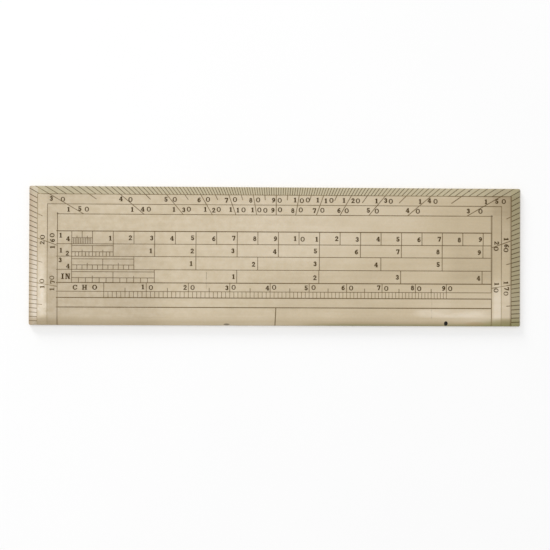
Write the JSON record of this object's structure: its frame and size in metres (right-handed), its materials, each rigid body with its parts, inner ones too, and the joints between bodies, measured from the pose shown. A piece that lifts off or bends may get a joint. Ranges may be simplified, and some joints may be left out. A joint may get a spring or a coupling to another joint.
{
  "type": "rectangular protractor",
  "caption": "Thin oblong plate with a degree scale round three bevelled edges, plotting scales and a scale of chords, all engraved and filled with black pigment.",
  "frame": {"origin": "middle of the flat underside", "axes": "+X along the length to the reader's right, +Y towards the graduated long edge, +Z out of the graduated face"},
  "size_m": [0.1524, 0.0428, 0.002],
  "materials": {
    "ivory": "satin",
    "pigment": "matte"
  },
  "bodies": {
    "root": {"plate": "ivory", "border_rules": "pigment", "scale_rules": "pigment", "centre_mark": "pigment", "long_edge_degree_lines": "pigment", "left_edge_degree_lines": "pigment", "right_edge_degree_lines": "pigment", "five_degree_lines": "pigment", "ten_degree_lines": "pigment", "outer_degree_figures": "pigment", "inner_degree_figures": "pigment", "quarter_inch_scale": "pigment", "half_inch_scale": "pigment", "three_quarter_inch_scale": "pigment", "inch_scale": "pigment", "quarter_inch_figures": "pigment", "half_inch_figures": "pigment", "three_quarter_inch_figures": "pigment", "inch_figures": "pigment", "chord_scale": "pigment", "chord_figures": "pigment", "diagonal_scale": "pigment", "diagonal_scale_figures": "pigment"}
  },
  "joints": []
}
